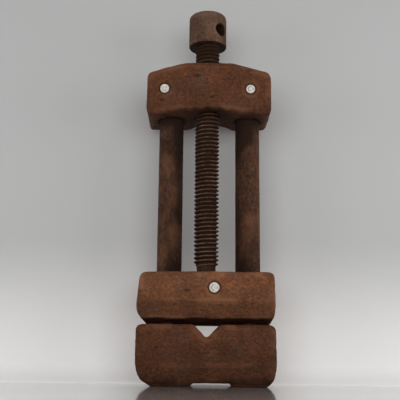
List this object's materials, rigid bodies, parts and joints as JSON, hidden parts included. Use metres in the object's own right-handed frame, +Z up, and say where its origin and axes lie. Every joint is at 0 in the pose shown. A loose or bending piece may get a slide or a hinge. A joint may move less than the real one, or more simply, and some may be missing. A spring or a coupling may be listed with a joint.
{
  "type": "screw clamp",
  "caption": "Guide-rod screw clamp: a drilled-head screw through a crosshead drives a sliding jaw onto a V-notched base jaw.",
  "frame": {"origin": "on the surface the clamp stands on, under the axis of the screw, centred on the jaws", "axes": "+Z up along the screw and the guide rods, +X across the jaws, -Y the front, where the bright pins show"},
  "size_m": [0.067, 0.031, 0.1935],
  "materials": {
    "forged_iron": "rusted, matte",
    "rod_iron": "rusted, matte",
    "screw_iron": "rusted, matte",
    "pin_metal": "filed bright"
  },
  "bodies": {
    "frame": {"fixed_jaw": "forged_iron", "guide_rod_left": "rod_iron", "guide_rod_right": "rod_iron", "crosshead": "forged_iron", "crosshead_pin_left": "pin_metal", "crosshead_pin_right": "pin_metal"},
    "sliding_jaw": {"moving_jaw": "forged_iron", "screw_retaining_pin": "pin_metal"},
    "screw": {"screw": "screw_iron"}
  },
  "joints": [
    {"name": "jaw_slide", "type": "slide", "parent": "frame", "child": "sliding_jaw", "axis": [0, 0, 1], "range_m": [0, 0.0783]},
    {"name": "screw_turn", "type": "hinge", "parent": "sliding_jaw", "child": "screw", "pos_m": [0, 0, 0.1835], "axis": [0, 0, 1], "range_deg": [0, 13320]}
  ],
  "couplings": [
    {"joint": "screw_turn", "follows": "jaw_slide", "rad_per_m": 2968.4}
  ]
}
